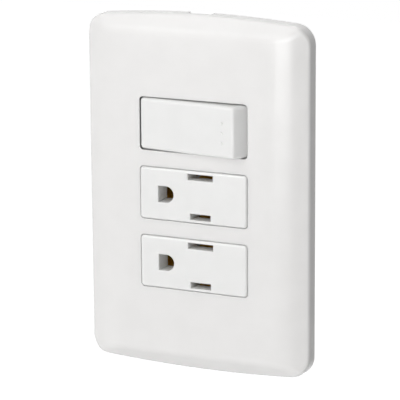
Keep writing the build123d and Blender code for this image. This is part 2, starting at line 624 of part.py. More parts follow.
# Earthed sockets: the same module twice
for number, z in SOCKET_Z.items():
    with BuildPart() as socket_face:
        add(module_shell(z))
        with BuildSketch(across(0, FLANGE_FRONT_Y, z)):
            RectangleRounded(FACE_WIDTH, FACE_HEIGHT, FACE_CORNER_R)
        extrude(amount=FLANGE_FRONT_Y - FACE_Y)
        fillet(socket_face.faces().sort_by(Axis.Y)[0].edges(), FACE_EDGE_R)
        with BuildSketch(across(0, SLAB_BACK_Y, z)):
            with Locations((BLADE_LINE_X, BLADE_SPACING / 2)):
                Rectangle(NEUTRAL_SLOT, SLOT_HEIGHT)
            with Locations((BLADE_LINE_X, -BLADE_SPACING / 2)):
                Rectangle(LINE_SLOT, SLOT_HEIGHT)
            with Locations((EARTH_X, 0)):
                Circle(EARTH_HOLE_R)
            with Locations((EARTH_X - EARTH_FLAT / 2, 0)):
                Rectangle(EARTH_FLAT, 2 * EARTH_HOLE_R)
        extrude(amount=FRONT_SLAB, mode=Mode.SUBTRACT)
        slot_rims = socket_face.faces().sort_by(Axis.Y)[0].inner_wires()
        chamfer([e for w in slot_rims for e in w.edges()], SLOT_BEVEL)
        # room behind the blade slots for the mouths of the leaves
        leaf_room = LEAF_MOUTH_GAP + 2 * (SHEET + LEAF_POCKET_CLEARANCE)
        with BuildSketch(across(0, SLAB_BACK_Y, z)):
            with Locations((BLADE_LINE_X, BLADE_SPACING / 2)):
                Rectangle(NEUTRAL_SLOT, leaf_room)
            with Locations((BLADE_LINE_X, -BLADE_SPACING / 2)):
                Rectangle(LINE_SLOT, leaf_room)
        extrude(amount=FRONT_SLAB - SLOT_WALL_DEPTH, mode=Mode.SUBTRACT)
    write(socket_face, f"socket_{number}_face")

    with BuildPart() as socket_housing:
        add(module_housing(z, SOCKET_TERMINALS, SOCKET_WIRES))
        # walls that part the earth, line and neutral chambers
        wall_x = (EARTH_WEB_X + SHEET + EARTH_LEAF_WIDTH + BLADE_LINE_X - LEAF_WIDTH / 2) / 2
        with BuildSketch(across(0, REAR_INNER_Y, z)):
            with Locations((wall_x, 0)):
                Rectangle(PARTITION, BODY_HEIGHT - BODY_WALL)
            with Locations(((wall_x + BODY_WIDTH / 2 - BODY_WALL / 2) / 2, 0)):
                Rectangle(BODY_WIDTH / 2 - BODY_WALL / 2 - wall_x, PARTITION)
        extrude(amount=REAR_INNER_Y - BODY_SPLIT)
    write(socket_housing, f"socket_{number}_housing")

    write(blade_contact(z, 1), f"socket_{number}_neutral_contact")
    write(blade_contact(z, -1), f"socket_{number}_line_contact")
    write(earth_contact(z), f"socket_{number}_earth_contact")
    write(clamp_plates(z, SOCKET_TERMINALS), f"socket_{number}_clamp_plates")
    write(terminal_screws(z, SOCKET_TERMINALS), f"socket_{number}_terminal_screws")


# Switch module: cover, housing and terminals
with BuildPart() as switch_cover:
    add(module_shell(SWITCH_Z))
    with BuildSketch(across(0, BODY_SPLIT, SWITCH_Z)):
        Rectangle(INNER_WIDTH, INNER_HEIGHT)
    extrude(amount=BODY_SPLIT - FLANGE_FRONT_Y, mode=Mode.SUBTRACT)
    with BuildSketch(Plane.XY.offset(SWITCH_Z)):
        with Locations((0, PIVOT_Y)):
            Circle(PIVOT_PIN_R + PIVOT_CLEARANCE)
    extrude(amount=BODY_HEIGHT, both=True, mode=Mode.SUBTRACT)
write(switch_cover, "switch_cover")

with BuildPart() as switch_housing:
    add(module_housing(SWITCH_Z, SWITCH_TERMINALS, SWITCH_WIRES))
write(switch_housing, "switch_housing")

write(clamp_plates(SWITCH_Z, SWITCH_TERMINALS), "switch_clamp_plates")
write(terminal_screws(SWITCH_Z, SWITCH_TERMINALS), "switch_terminal_screws")

# Common terminal: a plate under the mechanism with two ears that carry the seesaw
ear_z = SEESAW_WIDTH / 2 + EAR_GAP
ear_top = SEESAW_Y - TRUNNION_R - SHEET
with BuildPart() as common_terminal:
    with BuildSketch(across(0, TERMINAL_Y + SHEET, SWITCH_Z)):
        with Locations((TERMINAL_X + TERMINAL_TAB / 2, 0)):
            Rectangle(TERMINAL_PLATE + TERMINAL_TAB, TERMINAL_PLATE)
        with Locations(((TERMINAL_X - COMMON_END) / 2, 0)):
            Rectangle(TERMINAL_X + COMMON_END, 2 * (ear_z + SHEET))
        with Locations((TERMINAL_X, 0)):
            Circle(TERMINAL_SCREW_R + THREAD_CLEARANCE, mode=Mode.SUBTRACT)
    extrude(amount=SHEET)
    with BuildSketch(Plane.XY.offset(SWITCH_Z + ear_z)):
        with Locations((0, (ear_top + TERMINAL_Y + SHEET) / 2)):
            Rectangle(2 * EAR_HALF_WIDTH, TERMINAL_Y + SHEET - ear_top)
        with Locations((0, SEESAW_Y)):
            Circle(TRUNNION_R + TRUNNION_CLEARANCE, mode=Mode.SUBTRACT)
        with Locations((0, (ear_top + SEESAW_Y) / 2)):
            slot_width = 2 * (TRUNNION_R + TRUNNION_CLEARANCE)
            Rectangle(slot_width, SEESAW_Y - ear_top, mode=Mode.SUBTRACT)
    ear = extrude(amount=SHEET)
    mirror(ear, about=Plane.XY.offset(SWITCH_Z))
write(common_terminal, "common_terminal")

with BuildPart() as switched_terminal:
    inner_end = TIP_X - TIP_R
    outer_end = TERMINAL_X + TERMINAL_PLATE / 2 + TERMINAL_TAB
    with BuildSketch(across(0, TERMINAL_Y + SHEET, SWITCH_Z)):
        with Locations((-(inner_end + outer_end) / 2, 0)):
            Rectangle(outer_end - inner_end, TERMINAL_PLATE)
        with Locations((-TERMINAL_X, 0)):
            Circle(TERMINAL_SCREW_R + THREAD_CLEARANCE, mode=Mode.SUBTRACT)
    extrude(amount=SHEET)
write(switched_terminal, "switched_terminal")

with BuildPart() as fixed_contact_tip:
    with BuildSketch(across(-TIP_X, TERMINAL_Y, SWITCH_Z)):
        Circle(TIP_R)
    extrude(amount=TIP_HEIGHT)
    chamfer(fixed_contact_tip.edges().group_by(Axis.Y)[0], TIP_EDGE_R)
write(fixed_contact_tip, "fixed_contact_tip")

# Seesaw contact: rocks on its trunnions, opposite to the rocker
seesaw_plane = turned(0, SEESAW_Y, SWITCH_Z, ROCKER_TILT)
seesaw_half = TIP_X + TIP_R + SEESAW_OVERHANG
with BuildPart() as seesaw_contact:
    with BuildSketch(seesaw_plane):
        Rectangle(2 * seesaw_half, SHEET)
    extrude(amount=SEESAW_WIDTH / 2, both=True)
    pin_start = PLUNGER_R + EAR_GAP
    with BuildSketch(seesaw_plane.offset(pin_start)):
        Circle(TRUNNION_R)
    trunnion = extrude(amount=ear_z + SHEET - pin_start)
    mirror(trunnion, about=Plane.XY.offset(SWITCH_Z))
    ends = seesaw_contact.edges().filter_by(lambda e: abs(e.length - SHEET) < SHEET / 100)
    fillet(ends, SEESAW_CORNER_R)
write(seesaw_contact, "seesaw_contact")

with BuildPart() as moving_contact_tip:
    tip_plane = Plane(
        origin=seesaw_plane.from_local_coords((-TIP_X, SHEET / 2, 0)),
        x_dir=(0, 0, 1),
        z_dir=seesaw_plane.y_dir,
    )
    with BuildSketch(tip_plane):
        Circle(TIP_R)
    extrude(amount=TIP_HEIGHT)
    tip_end = moving_contact_tip.faces().sort_by(Axis(seesaw_plane.origin, seesaw_plane.y_dir))[-1]
    chamfer(tip_end.edges(), TIP_EDGE_R)
write(moving_contact_tip, "moving_contact_tip")


# Rocker: a hollow cap whose ends are arcs about the pivot, drawn with its right end out
rocker_plane = turned(0, PIVOT_Y, SWITCH_Z, -ROCKER_TILT)
barrel_plane = along_depth(rocker_plane)


def rocker_form(end_radius, face, skirt, half_width, edge_radius):
    """Cap seen along the pivot: flat face, arc ends and a plain back, with rounded front edges."""
    middle = (face + skirt) / 2
    face_end, middle_end, skirt_end = [
        (sqrt(end_radius**2 - level**2), -level) for level in (face, middle, skirt)
    ]
    with BuildPart() as form:
        with BuildSketch(rocker_plane):
            with BuildLine():
                Line((0, -face), face_end)
                ThreePointArc(face_end, middle_end, skirt_end)
                Line(skirt_end, (0, -skirt))
                mirror(about=Plane.YZ)
            make_face()
        extrude(amount=half_width, both=True)
        if edge_radius > 0:
            back = form.faces().sort_by(Axis(rocker_plane.origin, rocker_plane.y_dir))[-1]
            fillet([e for e in form.edges() if e not in back.edges()], edge_radius)
    return form.part


skirt_level = ROCKER_FACE - ROCKER_SKIRT
cheek_inner = ROCKER_HEIGHT / 2 - ROCKER_WALL
rocker_outside = rocker_form(ROCKER_END_R, ROCKER_FACE, skirt_level, ROCKER_HEIGHT / 2, ROCKER_EDGE_R)
rocker_inside = rocker_form(
    ROCKER_END_R - ROCKER_WALL, ROCKER_FACE - ROCKER_WALL, skirt_level - ROCKER_WALL, cheek_inner, 0
)
with BuildPart() as rocker:
    add(rocker_outside)
    add(rocker_inside, mode=Mode.SUBTRACT)
    # cheeks that reach back to the pivot, with a pin on each
    for side in (-1, 1):
        with BuildSketch(rocker_plane.offset(side * (cheek_inner + ROCKER_WALL / 2))):
            with BuildLine():
                Polyline(
                    (-2 * CHEEK_R, -skirt_level - ROCKER_WALL),
                    (2 * CHEEK_R, -skirt_level - ROCKER_WALL),
                    (2 * CHEEK_R, -skirt_level),
                    (CHEEK_R, 0),
                    (-CHEEK_R, 0),
                    (-2 * CHEEK_R, -skirt_level),
                    close=True,
                )
            make_face()
            Circle(CHEEK_R)
        extrude(amount=ROCKER_WALL / 2, both=True)
    with BuildSketch(rocker_plane.offset(cheek_inner)):
        Circle(PIVOT_PIN_R)
    pin = extrude(amount=BODY_HEIGHT / 2 - PIVOT_PIN_END_GAP - cheek_inner)
    mirror(pin, about=Plane.XY.offset(SWITCH_Z))
    # barrel for the plunger and its spring
    with BuildSketch(barrel_plane.offset(-ROCKER_FACE + ROCKER_WALL / 2)):
        Circle(BARREL_R)
    extrude(amount=ROCKER_FACE - ROCKER_WALL / 2 + BARREL_TAIL)
    with BuildSketch(barrel_plane.offset(-SPRING_SEAT)):
        Circle(BARREL_BORE_R)
    extrude(amount=SPRING_SEAT + BARREL_TAIL, mode=Mode.SUBTRACT)
    # three raised dots to find the switch by touch
    for step in (-1, 0, 1):
        dot_centre = (DOT_X, -ROCKER_FACE, -DOT_DROP + step * DOT_PITCH)
        with BuildSketch(Plane(origin=rocker_plane.from_local_coords(dot_centre), z_dir=-rocker_plane.y_dir)):
            Circle(DOT_R)
        extrude(amount=DOT_RISE, taper=DOT_TAPER)
write(rocker, "rocker")

with BuildPart() as plunger:
    with BuildSketch(rocker_plane):
        with BuildLine():
            Polyline(
                (0, COLLAR_SEAT),
                (PLUNGER_COLLAR_R, COLLAR_SEAT),
                (PLUNGER_COLLAR_R, COLLAR_SEAT + PLUNGER_COLLAR),
                (PLUNGER_R, COLLAR_SEAT + PLUNGER_COLLAR),
                (PLUNGER_R, PLUNGER_REACH - PLUNGER_R),
            )
            RadiusArc((PLUNGER_R, PLUNGER_REACH - PLUNGER_R), (0, PLUNGER_REACH), -PLUNGER_R)
            Line((0, PLUNGER_REACH), (0, COLLAR_SEAT))
        make_face()
    revolve(axis=Axis(rocker_plane.origin, rocker_plane.y_dir))
write(plunger, "plunger")

spring_start = rocker_plane.from_local_coords((0, SPRING_WIRE_R - SPRING_SEAT, 0))
spring_length = SPRING_SEAT + COLLAR_SEAT - 2 * SPRING_WIRE_R
with BuildPart() as plunger_spring:
    with BuildLine() as coil:
        Helix(
            spring_length / SPRING_TURNS,
            spring_length,
            SPRING_COIL_R,
            center=spring_start,
            direction=rocker_plane.y_dir,
        )
    with BuildSketch(Plane(origin=coil.line @ 0, z_dir=coil.line % 0)):
        Circle(SPRING_WIRE_R)
    sweep(path=coil.line)
write(plunger_spring, "plunger_spring")
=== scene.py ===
"""Looks of a wall plate that holds one rocker switch and two earthed sockets.

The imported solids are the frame. Each sub-assembly below dresses its own solids, or builds a finer
piece in the same place, and the studio and the camera follow the photograph's angle and light.
"""

from __future__ import annotations

import logging
import math
from dataclasses import dataclass, field
from enum import Enum
from typing import Any, Callable

import bmesh
import bpy
from mathutils import Matrix, Vector

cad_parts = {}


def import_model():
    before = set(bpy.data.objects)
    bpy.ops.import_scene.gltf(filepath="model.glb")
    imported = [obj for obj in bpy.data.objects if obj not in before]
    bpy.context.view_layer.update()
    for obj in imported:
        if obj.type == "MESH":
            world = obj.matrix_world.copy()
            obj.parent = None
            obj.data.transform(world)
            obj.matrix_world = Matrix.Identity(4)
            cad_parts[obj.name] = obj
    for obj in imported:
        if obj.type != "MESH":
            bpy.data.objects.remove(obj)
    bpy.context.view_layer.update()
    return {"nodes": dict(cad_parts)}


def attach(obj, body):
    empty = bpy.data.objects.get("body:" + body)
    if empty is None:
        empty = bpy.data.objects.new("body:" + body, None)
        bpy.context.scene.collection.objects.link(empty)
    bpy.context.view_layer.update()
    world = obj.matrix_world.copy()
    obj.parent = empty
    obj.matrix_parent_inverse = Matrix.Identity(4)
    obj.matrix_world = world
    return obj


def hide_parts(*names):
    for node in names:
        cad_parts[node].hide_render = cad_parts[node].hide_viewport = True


LOG = logging.getLogger("wall_plate")
MM = 0.001
MODULE_PITCH = 22.12
SCREW_BODY = "base"
WHITE = "#FFFFFF"

# Part of a noise's range in which most of its values lie
NOISE_LOW = 0.3
NOISE_HIGH = 0.7


def linear(hex_colour: str) -> tuple[float, float, float, float]:
    """Turns an sRGB hex colour into the linear colour that sockets take.

    Args:
        hex_colour: Six hex digits after a hash sign.

    Returns:
        Red, green, blue and a full alpha.
    """
    values = [int(hex_colour[i : i + 2], 16) / 255 for i in (1, 3, 5)]
    turned = [v / 12.92 if v <= 0.04045 else ((v + 0.055) / 1.055) ** 2.4 for v in values]
    return (turned[0], turned[1], turned[2], 1.0)


def per_metre(size_mm: float) -> float:
    """Scale of a noise whose grains are about this many millimetres wide.

    Args:
        size_mm: Width of one grain.

    Returns:
        Grains in a metre, because object coordinates are in metres.
    """
    return 1000.0 / size_mm


def add_node(
    tree: bpy.types.NodeTree,
    kind: str,
    values: dict[str, Any] | None = None,
    links: dict[str | int, bpy.types.NodeSocket] | None = None,
    **settings: Any,
) -> bpy.types.Node:
    """Adds one node with its settings, its socket values and what feeds it.

    Args:
        tree: Node tree that gets the node.
        kind: Blender's name of the node type.
        values: Values of unlinked input sockets, by socket name.
        links: Output sockets that feed inputs, by input name.
        settings: Properties of the node itself.

    Returns:
        The new node.
    """
    node = tree.nodes.new(kind)
    for name, value in settings.items():
        setattr(node, name, value)
    for name, value in (values or {}).items():
        node.inputs[name].default_value = value
    for name, source in (links or {}).items():
        tree.links.new(source, node.inputs[name])
    return node


def new_material(name: str) -> tuple[bpy.types.Material, bpy.types.NodeTree]:
    """Makes an empty node material.

    Args:
        name: Name of the real material and how it was made.

    Returns:
        The material and its tree, with no nodes.
    """
    material = bpy.data.materials.new(name)
    material.use_nodes = True
    material.node_tree.nodes.clear()
    return material, material.node_tree


# How finely the noises of the finishes are broken up, and where their two colours meet
CLOUD_DETAIL = 2.0
GRAIN_DETAIL = 3.0
LINE_DETAIL = 4.0
PATCH_DETAIL = 5.0
BROKEN_EDGES = 0.6
CLOUD_EDGES = (0.35, 0.65)
PATCH_EDGES = (0.4, 0.6)


@dataclass(frozen=True)
class MouldedPlastic:
    """Injection-moulded thermoplastic with the skin that its mould left.

    Attributes:
        name: Material name.
        colour: Colour of most of the surface.
        tint: Colour of the faint clouds where pigment and flow differ.
        roughness: Middle of the roughness range.
        roughness_spread: Half of the roughness range.
        grain_mm: Width of the spark-eroded grain that the mould leaves.
        grain_depth_mm: Depth of that grain.
        wave_mm: Width of the slow waves that sink and flow leave.
        wave_depth_mm: Depth of those waves.
        ior: Index of refraction.
        glow: Share of light that scatters under the skin.
        glow_mm: How far that light travels.
    """

    name: str
    colour: str
    tint: str
    roughness: float
    roughness_spread: float
    grain_mm: float
    grain_depth_mm: float
    wave_mm: float
    wave_depth_mm: float
    ior: float = 1.54
    glow: float = 0.0
    glow_mm: float = 0.6

    def make(self) -> bpy.types.Material:
        """Builds the node material.

        Returns:
            The finished material.
        """
        material, tree = new_material(self.name)
        place = add_node(tree, "ShaderNodeTexCoord").outputs["Object"]
        clouds = add_node(
            tree,
            "ShaderNodeTexNoise",
            values={"Scale": per_metre(self.wave_mm), "Detail": CLOUD_DETAIL},
            links={"Vector": place},
        )
        grain = add_node(
            tree,
            "ShaderNodeTexNoise",
            values={
                "Scale": per_metre(self.grain_mm),
                "Detail": GRAIN_DETAIL,
                "Roughness": BROKEN_EDGES,
            },
            links={"Vector": place},
        )
        colour = self._cloudy(tree, clouds.outputs["Fac"])
        sheen = add_node(
            tree,
            "ShaderNodeMapRange",
            values={
                "From Min": NOISE_LOW,
                "From Max": NOISE_HIGH,
                "To Min": self.roughness - self.roughness_spread,
                "To Max": self.roughness + self.roughness_spread,
            },
            links={"Value": grain.outputs["Fac"]},
        )
        waves = add_node(
            tree,
            "ShaderNodeBump",
            values={"Strength": 1.0, "Distance": self.wave_depth_mm * MM},
            links={"Height": clouds.outputs["Fac"]},
        )
        skin = add_node(
            tree,
            "ShaderNodeBump",
            values={"Strength": 1.0, "Distance": self.grain_depth_mm * MM},
            links={"Height": grain.outputs["Fac"], "Normal": waves.outputs["Normal"]},
        )
        shader = add_node(
            tree,
            "ShaderNodeBsdfPrincipled",
            values={
                "IOR": self.ior,
                "Subsurface Weight": self.glow,
                "Subsurface Radius": (1.0, 1.0, 1.0),
                "Subsurface Scale": self.glow_mm * MM,
            },
            links={
                "Base Color": colour,
                "Roughness": sheen.outputs["Result"],
                "Normal": skin.outputs["Normal"],
            },
        )
        add_node(tree, "ShaderNodeOutputMaterial", links={"Surface": shader.outputs["BSDF"]})
        return material

    def _cloudy(
        self, tree: bpy.types.NodeTree, clouds: bpy.types.NodeSocket
    ) -> bpy.types.NodeSocket:
        """Spreads the two colours over the clouds.

        Args:
            tree: Tree of the material.
            clouds: Noise that says where the tint shows.

        Returns:
            The colour's output socket.
        """
        ramp = add_node(tree, "ShaderNodeValToRGB", links={"Fac": clouds})
        low, high = ramp.color_ramp.elements
        low.position, low.color = CLOUD_EDGES[0], linear(self.tint)
        high.position, high.color = CLOUD_EDGES[1], linear(self.colour)
        return ramp.outputs["Color"]


@dataclass(frozen=True)
class WorkedMetal:
    """Metal with the lines and the dulling that rolling, turning or plating leaves.

    Attributes:
        name: Material name.
        colour: Colour of the clean metal.
        dulled: Colour where it has dulled.
        roughness: Middle of the roughness range.
        roughness_spread: Half of the roughness range.
        line_mm: Width of the tool's or roll's lines.
        line_depth_mm: Depth of those lines.
        stretch: How much longer than wide the lines are, along X, Y and Z.
        patch_mm: Width of the dulled patches.
    """

    name: str
    colour: str
    dulled: str
    roughness: float
    roughness_spread: float
    line_mm: float
    line_depth_mm: float
    stretch: tuple[float, float, float]
    patch_mm: float

    def make(self) -> bpy.types.Material:
        """Builds the node material.

        Returns:
            The finished material.
        """
        material, tree = new_material(self.name)
        place = add_node(tree, "ShaderNodeTexCoord").outputs["Object"]
        drawn = add_node(
            tree,
            "ShaderNodeMapping",
            values={"Scale": tuple(1.0 / s for s in self.stretch)},
            links={"Vector": place},
        )
        lines = add_node(
            tree,
            "ShaderNodeTexNoise",
            values={"Scale": per_metre(self.line_mm), "Detail": LINE_DETAIL},
            links={"Vector": drawn.outputs["Vector"]},
        )
        patches = add_node(
            tree,
            "ShaderNodeTexNoise",
            values={
                "Scale": per_metre(self.patch_mm),
                "Detail": PATCH_DETAIL,
                "Roughness": BROKEN_EDGES,
            },
            links={"Vector": place},
        )
        ramp = add_node(tree, "ShaderNodeValToRGB", links={"Fac": patches.outputs["Fac"]})
        low, high = ramp.color_ramp.elements
        low.position, low.color = PATCH_EDGES[0], linear(self.dulled)
        high.position, high.color = PATCH_EDGES[1], linear(self.colour)
        sheen = add_node(
            tree,
            "ShaderNodeMapRange",
            values={
                "From Min": NOISE_LOW,
                "From Max": NOISE_HIGH,
                "To Min": self.roughness - self.roughness_spread,
                "To Max": self.roughness + self.roughness_spread,
            },
            links={"Value": lines.outputs["Fac"]},
        )
        tooled = add_node(
            tree,
            "ShaderNodeBump",
            values={"Strength": 1.0, "Distance": self.line_depth_mm * MM},
            links={"Height": lines.outputs["Fac"]},
        )
        shader = add_node(
            tree,
            "ShaderNodeBsdfPrincipled",
            values={"Metallic": 1.0},
            links={
                "Base Color": ramp.outputs["Color"],
                "Roughness": sheen.outputs["Result"],
                "Normal": tooled.outputs["Normal"],
            },
        )
        add_node(tree, "ShaderNodeOutputMaterial", links={"Surface": shader.outputs["BSDF"]})
        return material


# White ABS from a polished mould: an even white with a soft, slightly wavy gloss. Light goes a
# little under the skin, which softens edges and shadows. The grain is drawn coarser than it is.
PLATE_ABS = MouldedPlastic(
    name="white_abs_polished_moulding",
    colour="#EFEEED",
    tint="#EDECEB",
    roughness=0.22,
    roughness_spread=0.03,
    grain_mm=0.35,
    grain_depth_mm=0.0004,
    wave_mm=9.0,
    wave_depth_mm=0.008,
    glow=1.0,
    glow_mm=1.4,
)

# White polycarbonate of the switch and socket fronts, clearer than the plate, with a sharper look
# at its edges.
# Its colour is a shade lighter than the plate's; that lift is painted light, making up for the
# light that the tilted rocker face misses. The grain is drawn coarser than it is, so that it shows.
FRONT_PC = MouldedPlastic(
    name="white_polycarbonate_polished_moulding",
    # Painted light: lifted above the plate's white so the tilted rocker face reads as bright as the
    # flat faces
    colour="#F1F1F0",
    tint="#EFEFEE",
    roughness=0.22,
    roughness_spread=0.03,
    grain_mm=0.3,
    grain_depth_mm=0.0004,
    wave_mm=7.0,
    wave_depth_mm=0.005,
    glow=1.0,
    glow_mm=0.9,
)

# Glass-filled nylon of the rear housings: pale grey, dull, with the grain of an eroded mould,
# which is drawn about five times as coarse as it is, so that it shows.
HOUSING_PA = MouldedPlastic(
    name="grey_glass_filled_nylon_eroded_moulding",
    colour="#CFCFCC",
    tint="#C8C8C4",
    roughness=0.55,
    roughness_spread=0.06,
    grain_mm=0.25,
    grain_depth_mm=0.008,
    wave_mm=4.0,
    wave_depth_mm=0.02,
)

# Recycled ABS of the hidden mounting frame: flat light grey with a plain, dull skin, whose
# grain is drawn about five times as coarse as it is.
FRAME_ABS = MouldedPlastic(
    name="light_grey_abs_eroded_moulding",
    colour="#D6D6D3",
    tint="#CECECA",
    roughness=0.5,
    roughness_spread=0.05,
    grain_mm=0.3,
    grain_depth_mm=0.006,
    wave_mm=6.0,
    wave_depth_mm=0.02,
)

# Natural acetal of the sliding plunger: milky, waxy and slippery.
PLUNGER_POM = MouldedPlastic(
    name="natural_acetal_polished_moulding",
    colour="#E6E1D2",
    tint="#DED8C6",
    roughness=0.32,
    roughness_spread=0.04,
    grain_mm=0.3,
    grain_depth_mm=0.001,
    wave_mm=2.0,
    wave_depth_mm=0.004,
    ior=1.48,
)

# Half-hard brass strip, rolled and pressed: yellow gold with rolling lines and dull patches. The
# lines are really about a hundredth of a millimetre wide, and drawn coarser to show.
BRASS_STRIP = WorkedMetal(
    name="brass_rolled_strip",
    colour="#F0CC62",
    dulled="#DCB44C",
    roughness=0.42,
    roughness_spread=0.07,
    line_mm=0.08,
    line_depth_mm=0.003,
    stretch=(1.0, 14.0, 1.0),
    patch_mm=3.0,
)

# Silver alloy of the contact rivets: bright, pressed and slightly dished.
SILVER_RIVET = WorkedMetal(
    name="silver_alloy_pressed",
    colour="#E9E6DF",
    dulled="#CFCBC0",
    roughness=0.24,
    roughness_spread=0.05,
    line_mm=0.1,
    line_depth_mm=0.001,
    stretch=(1.0, 1.0, 1.0),
    patch_mm=1.0,
)

# Zinc-plated steel of the screws: cool grey with the faint blue of passivation.
ZINC_STEEL = WorkedMetal(
    name="steel_zinc_plated",
    colour="#C3C6CA",
    dulled="#A7ABB0",
    roughness=0.3,
    roughness_spread=0.08,
    line_mm=0.12,
    line_depth_mm=0.002,
    stretch=(1.0, 1.0, 1.0),
    patch_mm=1.6,
)

# Spring steel wire: drawn, darker than plated steel, with lines along the wire.
SPRING_WIRE = WorkedMetal(
    name="spring_steel_drawn_wire",
    colour="#A9ABAD",
    dulled="#8C8E90",
    roughness=0.34,
    roughness_spread=0.06,
    line_mm=0.06,
    line_depth_mm=0.001,
    stretch=(1.0, 6.0, 1.0),
    patch_mm=1.0,
)


@dataclass
class Finishes:
    """Every finish of the object, each made once."""

    plate: bpy.types.Material = field(default_factory=PLATE_ABS.make)
    front: bpy.types.Material = field(default_factory=FRONT_PC.make)
    housing: bpy.types.Material = field(default_factory=HOUSING_PA.make)
    frame: bpy.types.Material = field(default_factory=FRAME_ABS.make)
    plunger: bpy.types.Material = field(default_factory=PLUNGER_POM.make)
    brass: bpy.types.Material = field(default_factory=BRASS_STRIP.make)
    silver: bpy.types.Material = field(default_factory=SILVER_RIVET.make)
    screws: bpy.types.Material = field(default_factory=ZINC_STEEL.make)
    spring: bpy.types.Material = field(default_factory=SPRING_WIRE.make)


@dataclass
class SubAssembly:
    """A group of pieces that belong together, with the frame and the finishes they need.

    Attributes:
        nodes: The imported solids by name.
        finishes: The finishes of the object.
    """

    nodes: dict[str, bpy.types.Object]
    finishes: Finishes

    def dress(self, node: str, material: bpy.types.Material) -> None:
        """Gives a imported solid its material.

        Args:
            node: Name of the solid.
            material: Its finish.
        """
        mesh = self.nodes[node].data
        mesh.materials.clear()
        mesh.materials.append(material)
        LOG.info("dressed %s in %s", node, material.name)

    def fit_screws(self, node: str, screws: list[Screw]) -> None:
        """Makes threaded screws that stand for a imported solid.

        Args:
            node: Name of the solid that they replace.
            screws: Every screw of that solid.
        """
        piece = build_screws("threaded_" + node, screws)
        piece.data.materials.clear()
        piece.data.materials.append(self.finishes.screws)
        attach(piece, SCREW_BODY)
        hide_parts(node)


# Fineness of a screw's mesh: steps round it, rows of faces in one pitch, steps of a rounding
STEPS_ROUND = 48
ROWS_PER_TURN = 6
ROUNDING_STEPS = 5

# Profile of a thread: how far the flat crest is lifted above the flanks, and their steepness
CREST_LIFT = 1.6
FLANK_STEEPNESS = 4.0

# Widths of a recess bar beyond the head's top and at its bottom, as shares of the drive's width
BAR_TAPER = (1.6, 0.6)
BAR_CORNERS = ((-1, -1), (1, -1), (1, 1), (-1, 1))
BAR_FACES = (
    (0, 1, 2, 3),
    (4, 5, 6, 7),
    (0, 1, 5, 4),
    (1, 2, 6, 5),
    (2, 3, 7, 6),
    (3, 0, 4, 7),
)


class Facing(Enum):
    """Which way along Y a screw's shank points."""

    INTO_WALL = 1
    TO_ROOM = -1


@dataclass(frozen=True)
class ScrewForm:
    """A pan-headed machine screw with a cross recess, in millimetres.

    Attributes:
        head_r: Radius of the head.
        head_height: Height of the head above its seat.
        head_rounding: Rounding of the head's rim.
        neck_r: Radius of the plain neck under the head.
        neck_length: Length of the neck.
        thread_r: Outer radius of the thread.
        thread_length: Length of the threaded part.
        thread_depth: Depth of the thread.
        pitch: Advance of the thread in one turn.
        tip: Chamfer of the end.
        drive_width: Width across the cross recess.
        drive_slot: Width of each of its two slots.
        drive_depth: Depth of the recess.
    """

    head_r: float
    head_height: float
    head_rounding: float
    neck_r: float
    neck_length: float
    thread_r: float
    thread_length: float
    thread_depth: float
    pitch: float
    tip: float
    drive_width: float
    drive_slot: float
    drive_depth: float

    @property
    def length(self) -> float:
        """Length under the head."""
        return self.neck_length + self.thread_length

    @property
    def core_r(self) -> float:
        """Radius at the bottom of the thread."""
        return self.thread_r - self.thread_depth

    @property
    def end_r(self) -> float:
        """Radius of the flat at the tip."""
        return min(self.core_r, self.thread_r - self.tip)

    def outline(self) -> list[tuple[float, float]]:
        """Height and radius of every ring from the top of the head to the start of the thread.

        Returns:
            Pairs of height above the seat, negative on the head's side, and radius.
        """
        rings = [(-self.head_height, 0.0)]
        for step in range(ROUNDING_STEPS + 1):
            angle = math.pi / 2 * step / ROUNDING_STEPS
            height = self.head_height - self.head_rounding * (1 - math.cos(angle))
            radius = self.head_r - self.head_rounding * (1 - math.sin(angle))
            rings.append((-height, radius))
        rings += [(0.0, self.head_r), (0.0, self.neck_r)]
        rings += [(self.neck_length, self.neck_r), (self.neck_length, self.core_r)]
        return rings

    def thread(self, step: int, row: int) -> tuple[float, float]:
        """Height and radius of one point of the helical thread.

        Args:
            step: Step round the screw, which goes on from turn to turn.
            row: Row inside one pitch.

        Returns:
            Height above the seat and radius.
        """
        share = row / ROWS_PER_TURN
        height = self.neck_length + self.pitch * (step / STEPS_ROUND + share)
        if height <= self.neck_length:
            return self.neck_length, self.core_r
        if height >= self.length:
            return self.length, self.end_r
        crest = min(1.0, max(0.0, CREST_LIFT - FLANK_STEEPNESS * abs(share - 0.5)))
        radius = self.core_r + self.thread_depth * crest
        return height, min(radius, self.end_r + self.length - height)


BOX_SCREW = ScrewForm(
    head_r=3.4,
    head_height=1.8,
    head_rounding=0.6,
    neck_r=1.5,
    neck_length=2.9,
    thread_r=1.75,
    thread_length=22.1,
    thread_depth=0.3,
    pitch=0.7,
    tip=0.45,
    drive_width=4.1,
    drive_slot=0.8,
    drive_depth=0.8,
)

TERMINAL_SCREW = ScrewForm(
    head_r=2.7,
    head_height=2.0,
    head_rounding=0.4,
    neck_r=1.6,
    neck_length=0.0,
    thread_r=1.6,
    thread_length=5.4,
    thread_depth=0.25,
    pitch=0.6,
    tip=0.35,
    drive_width=3.5,
    drive_slot=0.8,
    drive_depth=0.8,
)


